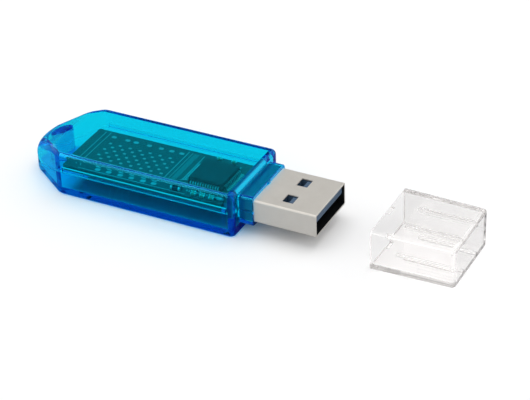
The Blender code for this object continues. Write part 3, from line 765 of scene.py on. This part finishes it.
def tongue(material):
    """Insulator with a pocket under each upper window, where a socket's spring goes."""
    block = box((TONGUE_LOW.x, TONGUE_HIGH.x), (TONGUE_LOW.y, TONGUE_HIGH.y), (TONGUE_LOW.z, TONGUE_HIGH.z))
    rounded_block(block, TONGUE_ROUND, 3)
    steps = []
    for side in (-1, 1):
        pocket = box((WINDOW_FRONT_X - POCKET_BACK, WINDOW_FRONT_X - POCKET_FRONT),
                     tuple(side * y for y in POCKET_SIDES),
                     (TONGUE_HIGH.z - POCKET_DEPTH, TONGUE_HIGH.z + OVERSHOOT))
        steps.append(("cut", pocket))
    piece = carved("tongue", block, steps)
    dress(piece, material, "tongue_plastic", "stick", "plug_tongue")


# ---------------- board

BOARD_CORNER = 0.45 * MM
BOARD_CORNER_STEPS = 6
NOTCH_LENGTH = 1.35 * MM
NOTCH_WIDTH = 0.95 * MM
LAND_SINK = 0.01 * MM  # how far lands and print reach into the board
LAND_RISE = 0.025 * MM
CHIP_LAND_RISE = 0.01 * MM
BAND_RISE = 0.02 * MM
GRID_PITCH = 2.1 * MM
GRID_ROW_STEP = 1.05 * MM
GRID_START = (-13.5 * MM, 2.6 * MM)
GRID_LAND = (0.62 * MM, 0.46 * MM, 0.16 * MM)  # length, width and corner of a land
GRID_ROWS = 6
GRID_COLUMNS = 7
LARGE_LANDS = (  # Y of the row, size of a land, and X of each, in mm
    (4.85, (1.0, 0.7, 0.3), (-14.0, -11.1, -9.3, -6.5, -4.0, -1.8, 0.3)),
    (-5.3, (1.05, 0.8, 0.3), (-11.3, -9.0, -6.6, -4.3, -1.9, 0.3)),
)
CHIP_LEADS = 12
CHIP_PITCH = 0.5 * MM
CHIP_LAND_REACH = 4.45 * MM
CHIP_LAND = (0.28 * MM, 1.3 * MM)
BOARD_LINES = (  # x, far end, near end, foot (x and y) and width, in mm
    (-16.3, 6.0, -3.6, -15.9, -5.0, 0.14),
    (-15.3, 6.0, -3.8, -14.9, -5.2, 0.14),
    (1.3, 6.0, -3.1, 0.7, -4.1, 0.16),
    (2.1, 5.8, -3.4, 1.6, -4.4, 0.10),
    (4.6, 5.6, -1.5, 4.3, -3.2, 0.16),
)
EDGE_LINE = (-4.0 * MM, -6.05 * MM, 22.0 * MM, 0.14 * MM)  # middle and size of the line along the edge
PALE_BAND = (3.0 * MM, 0.95 * MM, 1.0 * MM, 9.5 * MM)  # the same for the pale band
TRACE_STEPS = 8


def board(material):
    low, high = BOARD_LOW, BOARD_HIGH
    notch_x = high.x - NOTCH_LENGTH
    notch_y = high.y - NOTCH_WIDTH
    outline = []
    radius = BOARD_CORNER
    for side, start in ((1, 90), (-1, 180)):
        for step in range(BOARD_CORNER_STEPS + 1):
            angle = math.radians(start + 90 * step / BOARD_CORNER_STEPS)
            outline.append((low.x + radius + radius * math.cos(angle),
                            side * (high.y - radius) + radius * math.sin(angle)))
    outline += [(notch_x, -high.y), (notch_x, -notch_y), (high.x, -notch_y),
                (high.x, notch_y), (notch_x, notch_y), (notch_x, high.y)]
    slab = prism(outline, low.z, high.z)
    piece = carved("board", slab, [])
    dress(piece, material, "board", "stick", "circuit_board")


def plate(builder, x, y, width, depth, low, high, radius=0.0):
    """Add a thin rounded plate, such as a solder land, to a builder."""
    if radius > 0.0:
        outline = rounded_outline(width / 2, -depth / 2, depth / 2, radius, steps=4)
    else:
        outline = [(-width / 2, -depth / 2), (width / 2, -depth / 2),
                   (width / 2, depth / 2), (-width / 2, depth / 2)]
    add_to(builder, prism([(x + a, y + b) for a, b in outline], low, high))


def lands(material):
    """Tinned lands: a staggered grid between two rows of larger pads, thin lines, and the chip's pads."""
    builder = bmesh.new()
    low = BOARD_HIGH.z - LAND_SINK
    high = BOARD_HIGH.z + LAND_RISE
    length, width, corner = GRID_LAND
    for row in range(GRID_ROWS):
        y = GRID_START[1] - row * GRID_ROW_STEP
        first = GRID_START[0] + (row % 2) * GRID_PITCH / 2
        for column in range(GRID_COLUMNS):
            plate(builder, first + column * GRID_PITCH, y, length, width, low, high, corner)
    for y, (length, width, corner), places in LARGE_LANDS:
        for x in places:
            plate(builder, x * MM, y * MM, length * MM, width * MM, low, high, corner * MM)
    chip_lands(builder, low, BOARD_HIGH.z + CHIP_LAND_RISE)
    for line in BOARD_LINES:
        x, far, near, foot_x, foot_y, width = [number * MM for number in line]
        plate(builder, x, (far + near) / 2, width, far - near, low, high)
        trace(builder, (x, near), (x, foot_y), (foot_x, foot_y), width, low, high)
    plate(builder, *EDGE_LINE, low, high)
    piece = as_object("board_lands", builder)
    dress(piece, material, "contact_gold", "stick")


def chip_lands(builder, low, high):
    chip_low, chip_high = corners_of("controller_chip")
    middle = (chip_low + chip_high) / 2
    width, length = CHIP_LAND
    for index in range(CHIP_LEADS):
        along = (index - (CHIP_LEADS - 1) / 2) * CHIP_PITCH
        for side in (-1, 1):
            reach = side * CHIP_LAND_REACH
            plate(builder, middle.x + along, middle.y + reach, width, length, low, high)
            plate(builder, middle.x + reach, middle.y + along, length, width, low, high)


def trace(builder, start, turn, end, width, low, high):
    """Add a thin raised line that runs from start to end, bent softly towards turn."""
    points = []
    for step in range(TRACE_STEPS + 1):
        share = step / TRACE_STEPS
        weights = ((1 - share) ** 2, 2 * share * (1 - share), share ** 2)
        points.append(sum((Vector(corner) * weight for corner, weight in zip((start, turn, end), weights)),
                          Vector((0.0, 0.0))))
    left, right = [], []
    for index, point in enumerate(points):
        ahead = points[min(index + 1, TRACE_STEPS)] - points[max(index - 1, 0)]
        across = Vector((-ahead.y, ahead.x)).normalized() * width / 2
        left.append(tuple(point + across))
        right.append(tuple(point - across))
    add_to(builder, prism(left + right[::-1], low, high))


def silk(material):
    """Wide pale band across the board."""
    builder = bmesh.new()
    plate(builder, *PALE_BAND, BOARD_HIGH.z - LAND_SINK, BOARD_HIGH.z + BAND_RISE)
    piece = as_object("board_print", builder)
    dress(piece, material, "board", "stick")


LEAD_SHEET = 0.14 * MM
LEAD_ROOT = 0.25 * MM  # how far a lead starts inside the body
LEAD_KNEE = 0.30  # shares of a lead's reach: level part, then the bend
LEAD_BEND = 0.22
LEAD_STEPS = 6
CHIP_STAND_OFF = 0.1 * MM
CHIP_DRAFT = 0.12 * MM
CHIP_ROUND = 0.1 * MM
CHIP_DOT_INSET = 0.9 * MM
CHIP_DOT_RADIUS = 0.3 * MM
CHIP_DOT_DEPTH = 0.05 * MM
LEAD_LEVEL = 0.45  # share of the body's height at which the leads come out
FOOT_GAP = 0.03 * MM
CHIPS = (  # node, size, turns, leads a side, pitch, half width, reach, board side
    ("controller_chip", (7.0, 7.0, 1.3), (0, 90, 180, 270), 12, 0.5, 0.12, 1.0, 1),
    ("memory_chip", (4.9, 3.9, 1.4), (90, 270), 4, 1.27, 0.2, 1.0, -1),
    ("voltage_regulator", (2.9, 1.6, 1.05), (90, 270), 2, 1.9, 0.2, 0.6, -1),
)


def gull_lead(builder, centre, turn, along, half_width, body_half, reach, mount_z, foot_z, up):
    """One bent metal lead with round bends, leaving the body towards +X before it is turned."""
    path = [(body_half - LEAD_ROOT, mount_z)]
    for step in range(LEAD_STEPS + 1):
        share = step / LEAD_STEPS
        ease = share * share * (3 - 2 * share)
        x = body_half + reach * (LEAD_KNEE + LEAD_BEND * share)
        path.append((x, mount_z + (foot_z - mount_z) * ease))
    path.append((body_half + reach, foot_z))
    upper = [(x, z + up * LEAD_SHEET) for x, z in path]
    lead = prism(path + upper[::-1], along - half_width, along + half_width, "Y")
    bmesh.ops.rotate(lead, verts=lead.verts, cent=(0, 0, 0), matrix=Matrix.Rotation(turn, 3, "Z"))
    bmesh.ops.translate(lead, verts=lead.verts, vec=(centre.x, centre.y, 0.0))
    add_to(builder, lead)


def chip_body(source, half_x, half_y, near_z, far_z, material):
    """Moulded body with drafted sides and a small dot in one corner of its outer face."""
    low, high = corners_of(source)
    middle = (low + high) / 2
    body = box((middle.x - half_x, middle.x + half_x), (middle.y - half_y, middle.y + half_y),
               (near_z, far_z))
    for vertex in body.verts:
        if abs(vertex.co.z - far_z) < 1e-6:
            vertex.co.x -= math.copysign(CHIP_DRAFT, vertex.co.x - middle.x)
            vertex.co.y -= math.copysign(CHIP_DRAFT, vertex.co.y - middle.y)
    rounded_block(body, CHIP_ROUND, 3)
    dot = cylinder(middle.x - half_x + CHIP_DOT_INSET, middle.y - half_y + CHIP_DOT_INSET, CHIP_DOT_RADIUS,
                   far_z - CHIP_DOT_DEPTH, far_z + CHIP_DOT_DEPTH, steps=24)
    piece = carved(source + "_body", body, [("cut", dot)])
    dress(piece, material, "chip_black", "stick", source)


def chips(body_material, lead_material):
    for source, size, turns, per_side, pitch, half_width, reach, up in CHIPS:
        low, high = corners_of(source)
        half_x, half_y, height = size[0] / 2 * MM, size[1] / 2 * MM, size[2] * MM
        surface, far_z = (BOARD_HIGH.z, high.z) if up > 0 else (BOARD_LOW.z, low.z)
        chip_body(source, half_x, half_y, surface + up * CHIP_STAND_OFF, far_z, body_material)
        builder = bmesh.new()
        mount_z = surface + up * (CHIP_STAND_OFF + height * LEAD_LEVEL)
        for turn in turns:
            body_half = half_x if turn in (0, 180) else half_y
            for index in range(per_side):
                along = (index - (per_side - 1) / 2) * pitch * MM
                gull_lead(builder, (low + high) / 2, math.radians(turn), along, half_width * MM, body_half,
                          reach * MM, mount_z, surface + up * FOOT_GAP, up)
        leads = as_object(source + "_leads", builder)
        dress(leads, lead_material, "crystal_can", "stick")


# ---------------- small board parts

END_SHARE = 0.22  # share of a small part's length that each metal cap covers
END_SKIN = 0.02 * MM
END_ROUND = 0.06 * MM
BLOCK_ROUND = 0.04 * MM
CAN_BRIM = 0.2 * MM  # how far the crystal's foot stands out past its lid
CAN_FOOT_Z = 0.3 * MM
CAN_LID_HEIGHT = 0.5 * MM
CAN_FOOT_ROUND = 0.12 * MM
CAN_LID_ROUND = 0.15 * MM


def two_ended(source, body_material, end_material, slot):
    """Small board part: a ceramic or moulded block with a metal cap over each end."""
    low, high = corners_of(source)
    end = (high.x - low.x) * END_SHARE
    skin = Vector((END_SKIN, END_SKIN, END_SKIN))
    block = box(*zip(low + skin, high - skin))
    rounded_block(block, BLOCK_ROUND, 2)
    piece = carved(source + "_block", block, [])
    dress(piece, body_material, slot, "stick", source)
    builder = bmesh.new()
    for x_range in ((low.x, low.x + end), (high.x - end, high.x)):
        add_to(builder, rounded_block(box(x_range, (low.y, high.y), (low.z, high.z)), END_ROUND, 3))
    ends = as_object(source + "_ends", builder)
    dress(ends, end_material, "crystal_can", "stick")


def crystal_can(material):
    """Crystal on the underside of the board: its lid points down."""
    low, high = corners_of("crystal")
    base = box((low.x, high.x), (low.y, high.y), (low.z + CAN_FOOT_Z, high.z))
    rounded_block(base, CAN_FOOT_ROUND, 3)
    lid = box((low.x + CAN_BRIM, high.x - CAN_BRIM), (low.y + CAN_BRIM, high.y - CAN_BRIM),
              (low.z, low.z + CAN_LID_HEIGHT))
    rounded_block(lid, CAN_LID_ROUND, 3)
    piece = carved("crystal_can", base, [("join", lid)])
    dress(piece, material, "crystal_can", "stick", "crystal")


# ---------------- cap

CAP_TAPER = 0.45 * MM
CAP_HOLLOW_TAPER = CAP_TAPER * 0.8
CAP_HOLLOW_HALF_WIDTH = 6.68 * MM
CAP_HOLLOW_HALF_HEIGHT = 3.12 * MM
CAP_HOLLOW_ROUND = 0.3 * MM
CAP_END_WALL = 0.8 * MM
CAP_TIP_ROUND = 0.75 * MM
CAP_EDGE_ROUND = 0.12 * MM
CAP_NOTCH_LENGTH = 0.8 * MM
CAP_NOTCH_HALF_WIDTH = 1.1 * MM
CAP_NOTCH_DEPTH = 0.35 * MM
RIB_START = 4.5 * MM  # from the cap's mouth
RIB_HALF_WIDTH = 0.3 * MM
RIB_ROOT = 0.3 * MM
SIDE_RIB_Y = 6.25 * MM
FLAT_RIB_Y = 2.9 * MM
FLAT_RIB_Z = 2.66 * MM  # from the cap's middle


def tapered_outline(start, length, half, taper):
    return [(start, -half), (start + length, -half + taper), (start + length, half - taper), (start, half)]


def cap_ribs(middle_z):
    """Ribs inside the cap that grip the plug: one on each side, two under the top and two on the floor."""
    x_range = (CAP_LOW.x + RIB_START, CAP_HIGH.x - CAP_END_WALL / 2)
    for side in (-1, 1):
        yield box(x_range, (side * SIDE_RIB_Y, side * (CAP_HOLLOW_HALF_WIDTH + RIB_ROOT)),
                  (middle_z - RIB_HALF_WIDTH, middle_z + RIB_HALF_WIDTH))
        for y in (-FLAT_RIB_Y, FLAT_RIB_Y):
            yield box(x_range, (y - RIB_HALF_WIDTH, y + RIB_HALF_WIDTH),
                      (middle_z + side * FLAT_RIB_Z, middle_z + side * (CAP_HOLLOW_HALF_HEIGHT + RIB_ROOT)))


def clear_cap(material):
    mouth_x = CAP_LOW.x
    length = CAP_HIGH.x - mouth_x
    middle_z = (CAP_LOW.z + CAP_HIGH.z) / 2
    block = prism(tapered_outline(mouth_x, length, CAP_HIGH.y, CAP_TAPER), CAP_LOW.z, CAP_HIGH.z)
    edges = [edge for edge in block.edges if max(vertex.co.x for vertex in edge.verts) > mouth_x + length / 2]
    round_edges(block, edges, CAP_TIP_ROUND, 8)
    rounded_block(block, CAP_EDGE_ROUND, 3, math.radians(60))
    hollow = prism(tapered_outline(mouth_x - OVERSHOOT, length - CAP_END_WALL + OVERSHOOT,
                                   CAP_HOLLOW_HALF_WIDTH, CAP_HOLLOW_TAPER),
                   middle_z - CAP_HOLLOW_HALF_HEIGHT, middle_z + CAP_HOLLOW_HALF_HEIGHT)
    rounded_block(hollow, CAP_HOLLOW_ROUND, 5)
    notch_half_height = CAP_HOLLOW_HALF_HEIGHT + CAP_NOTCH_DEPTH
    notch = box((mouth_x - OVERSHOOT, mouth_x + CAP_NOTCH_LENGTH),
                (-CAP_NOTCH_HALF_WIDTH, CAP_NOTCH_HALF_WIDTH),
                (middle_z - notch_half_height, middle_z + notch_half_height))
    ribs = [("join", rib) for rib in cap_ribs(middle_z)]
    piece = carved("clear_cap", block, [("cut", hollow), ("cut", notch)] + ribs)
    dress(piece, material, "clear_cap", "cap", "cap")


# ---------------- stage

CAMERA_AZIMUTH = math.radians(27.76)
CAMERA_ELEVATION = math.radians(32.73)
CAMERA_ROLL = math.radians(1.89)
CAMERA_DISTANCE = 344.68 * MM
CAMERA_TARGET = Vector((20.14 * MM, -0.95 * MM, 4.0 * MM))
CAMERA_LENS = 132.64
PLUG_START_X = 14.0  # mm: the table beside the plug starts here
SHADE_FADE = (-3.0, -0.5)  # mm past the case's sides, so inside it: full shade, and none
# painted shade: the table's colour under the case
PAINTED_SHADE_UNDER_CASE = (0.36, 0.36, 0.37)
TABLE_HALF = 1.5
TABLE_LEVEL = -0.02 * MM
ROOM_ANGLES = (0.25, 0.85)  # cosines to the camera between which the room darkens
CARD_ANGLES = (math.cos(math.radians(24)), math.cos(math.radians(13)))
DARK_CARDS = (  # directions that the level roof and the tail's slopes mirror
    Vector((-0.39, 0.74, 0.54)),
    Vector((-0.66, 0.74, 0.13)),
)
WHITE = 1.05  # strengths of the surroundings as seen and as mirrored
DIM_ROOM = 0.14
DARK_CARD = 0.03
SKY = 0.84  # strength of the surroundings as a light
LIT_POINT = Vector((0.01, 0.0, 0.0))


def camera_back():
    """Direction from the object to the camera."""
    return Vector((math.sin(CAMERA_AZIMUTH) * math.cos(CAMERA_ELEVATION),
                   -math.cos(CAMERA_AZIMUTH) * math.cos(CAMERA_ELEVATION), math.sin(CAMERA_ELEVATION)))


def camera():
    back = camera_back()
    right = Vector((math.cos(CAMERA_AZIMUTH), math.sin(CAMERA_AZIMUTH), 0.0))
    up = back.cross(right)
    x_axis = right * math.cos(CAMERA_ROLL) - up * math.sin(CAMERA_ROLL)
    y_axis = right * math.sin(CAMERA_ROLL) + up * math.cos(CAMERA_ROLL)
    place = CAMERA_TARGET + back * CAMERA_DISTANCE
    data = bpy.data.cameras.new("camera")
    data.lens = CAMERA_LENS
    data.sensor_width = 36.0
    data.clip_start = 0.01
    data.clip_end = 20.0
    thing = bpy.data.objects.new("camera", data)
    bpy.context.scene.collection.objects.link(thing)
    rotation = Matrix((x_axis, y_axis, back)).transposed()
    thing.matrix_world = Matrix.Translation(place) @ rotation.to_4x4()
    bpy.context.scene.camera = thing


def mirrored_only(tree):
    """1 for rays that a polished face throws back, 0 for those that pass through it."""
    ray = node(tree, "LightPath").outputs
    return arithmetic(tree, "GREATER_THAN", ray["Is Glossy Ray"], ray["Is Transmission Ray"])


def shaded_below(tree, x, y, plain):
    """Table colour with painted shade under the case, where straight shadow rays let in more light than
    plastic does.
    """
    past_end = arithmetic(tree, "SUBTRACT", arithmetic(tree, "ABSOLUTE", x), FRONT_X / MM)
    past_side = arithmetic(tree, "SUBTRACT", arithmetic(tree, "ABSOLUTE", y), HALF_WIDTH / MM)
    shade = remap(tree, arithmetic(tree, "MAXIMUM", past_end, past_side), SHADE_FADE, (1.0, 0.0), eased=True)
    return blend_colors(tree, shade, plain, PAINTED_SHADE_UNDER_CASE)


def floor():
    """White table. Rays that polished faces mirror see a painted reflection colour instead: bluish beside the
    case and grey beside the plug.
    """
    material, tree = new_material("pale_table")
    place = position(tree)
    plain = blend_colors(tree, noise(tree, place, 0.02, 2.0), (0.90, 0.90, 0.905), (0.93, 0.93, 0.93))
    x, y, _ = separate(tree, place)
    beside_plug = arithmetic(tree, "GREATER_THAN", x, PLUG_START_X)
    # painted reflection: the table's colour as polished faces mirror it
    painted_reflection = blend_colors(tree, beside_plug, (0.04, 0.26, 0.42), (0.30, 0.31, 0.33))
    color = blend_colors(tree, mirrored_only(tree), shaded_below(tree, x, y, plain), painted_reflection)
    shader = principled(tree, color, 0.6, specular=0.2)
    output(tree, shader.outputs[0])
    builder = bmesh.new()
    corners = ((-1, -1), (1, -1), (1, 1), (-1, 1))
    builder.faces.new([builder.verts.new((x * TABLE_HALF, y * TABLE_HALF, TABLE_LEVEL)) for x, y in corners])
    thing = as_object("table_top", builder)
    thing.data.materials.append(material)


def area_light(name, place, width, height, watts, glossy=True, diffuse=True):
    """Rectangular light that faces the stick and isn't seen itself."""
    data = bpy.data.lights.new(name, "AREA")
    data.shape = "RECTANGLE"
    data.size = width
    data.size_y = height
    data.energy = watts
    thing = bpy.data.objects.new(name, data)
    bpy.context.scene.collection.objects.link(thing)
    thing.location = place
    thing.rotation_euler = (LIT_POINT - thing.location).to_track_quat("-Z", "Y").to_euler()
    thing.visible_camera = False
    thing.visible_glossy = glossy
    thing.visible_diffuse = diffuse
    thing.visible_transmission = diffuse
    return thing


def edge_card(name, place, width, height, watts, pieces):
    """Card that only the given pieces mirror, mostly in their near upper edges."""
    card = area_light(name, place, width, height, watts, diffuse=False)
    receivers = bpy.data.collections.new(name + "_receivers")
    for piece in pieces:
        receivers.objects.link(bpy.data.objects[piece])
    card.light_linking.receiver_collection = receivers


def background(tree, color, strength):
    made = node(tree, "Background")
    set_input(made, "Color", color)
    set_input(made, "Strength", strength)
    return made.outputs[0]


def towards(tree, direction):
    """Cosine between a ray that leaves the scene and direction."""
    coordinates = node(tree, "TexCoord")
    made = node(tree, "VectorMath")
    made.operation = "DOT_PRODUCT"
    set_input(made, 1, direction)
    set_input(made, 0, coordinates.outputs["Generated"])
    return made.outputs["Value"]


def studio():
    """White all round, but for a dark room behind the camera and dark cards that the tops mirror."""
    world = bpy.data.worlds.new("studio")
    bpy.context.scene.world = world
    world.use_nodes = True
    tree = world.node_tree
    tree.nodes.clear()
    room = remap(tree, towards(tree, camera_back()), ROOM_ANGLES, (WHITE, DIM_ROOM), eased=True)
    nearest = arithmetic(tree, "MAXIMUM", *[towards(tree, direction) for direction in DARK_CARDS])
    cards = remap(tree, nearest, CARD_ANGLES, (WHITE, DARK_CARD), eased=True)
    seen = background(tree, (1.0, 1.0, 1.0), room)
    mirrored = background(tree, (1.0, 0.985, 0.96), cards)
    open_sky = background(tree, (1.0, 1.0, 1.0), SKY)
    ray = node(tree, "LightPath").outputs
    looked_at = arithmetic(tree, "MAXIMUM", ray["Is Camera Ray"], ray["Is Transmission Ray"])
    made = node(tree, "OutputWorld")
    lit_by = mixed(tree, mirrored_only(tree), open_sky, mirrored)
    set_input(made, "Surface", mixed(tree, looked_at, lit_by, seen))
    area_light("key", (-0.02, 0.10, 0.50), width=0.5, height=0.4, watts=1.02, glossy=False)
    edge_card("case_card", (-0.17, -0.28, 0.31), width=0.36, height=0.46, watts=2.6,
              pieces=("case_lower", "case_upper"))
    edge_card("cap_card", (-0.17, -0.33, 0.24), width=0.34, height=0.22, watts=1.0, pieces=("clear_cap",))


def look():
    scene = bpy.context.scene
    scene.view_settings.view_transform = "Standard"
    scene.view_settings.look = "None"
    scene.cycles.max_bounces = 32
    scene.cycles.transmission_bounces = 28
    scene.cycles.transparent_max_bounces = 32
    scene.cycles.glossy_bounces = 12
    scene.cycles.diffuse_bounces = 5
    scene.cycles.caustics_refractive = True
    scene.cycles.caustics_reflective = True
    scene.cycles.blur_glossy = 0.3
    scene.cycles.sample_clamp_indirect = 6.0


# ---------------- whole object

def build():
    blue = blue_moulding()
    lower_case(blue)
    upper_case(blue)
    plug_housing(nickel())
    slate = ribbed_blue()
    tongue(slate)
    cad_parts["plug_back"].data.materials.clear()
    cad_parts["plug_back"].data.materials.append(slate)
    gold = plated("contact_gold", (0.80, 0.56, 0.20), (0.88, 0.68, 0.32), 0.2, 0.34,
                  tail=(0.30, 0.30, 0.31))
    for name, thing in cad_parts.items():
        if name.startswith(("usb2_contact", "superspeed_contact")):
            thing.data.materials.clear()
            thing.data.materials.append(gold)
    tin = plated("bright_tin", (0.72, 0.72, 0.71), (0.84, 0.84, 0.82), 0.22, 0.4)
    board(solder_mask())
    lands(moulded("tinned_land", (0.20, 0.34, 0.33), (0.28, 0.44, 0.42), 0.3, 0.5, 6.0, 0.3))
    silk(moulded("pale_print", (0.03, 0.16, 0.16), (0.05, 0.21, 0.20), 0.45, 0.65))
    chips(moulded("chip_black", (0.022, 0.028, 0.03), (0.035, 0.042, 0.045), 0.5, 0.7), tin)
    ceramic = moulded("ceramic_tan", (0.42, 0.30, 0.19), (0.58, 0.44, 0.30), 0.45, 0.65)
    dark = moulded("resistor_black", (0.02, 0.02, 0.022), (0.04, 0.04, 0.045), 0.3, 0.5)
    for name in sorted(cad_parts):
        if "capacitor" in name:
            two_ended(name, ceramic, tin, "ceramic")
        elif name.endswith("resistor") or "data_resistor" in name or name == "diode":
            two_ended(name, dark, tin, "resistor_black")
    two_ended("status_light", lamp_lens(), tin, "light_lens")
    crystal_can(plated("crystal_can", (0.66, 0.65, 0.62), (0.78, 0.77, 0.74), 0.2, 0.35))
    clear_cap(crystal_moulding())


build()
camera()
floor()
studio()
look()
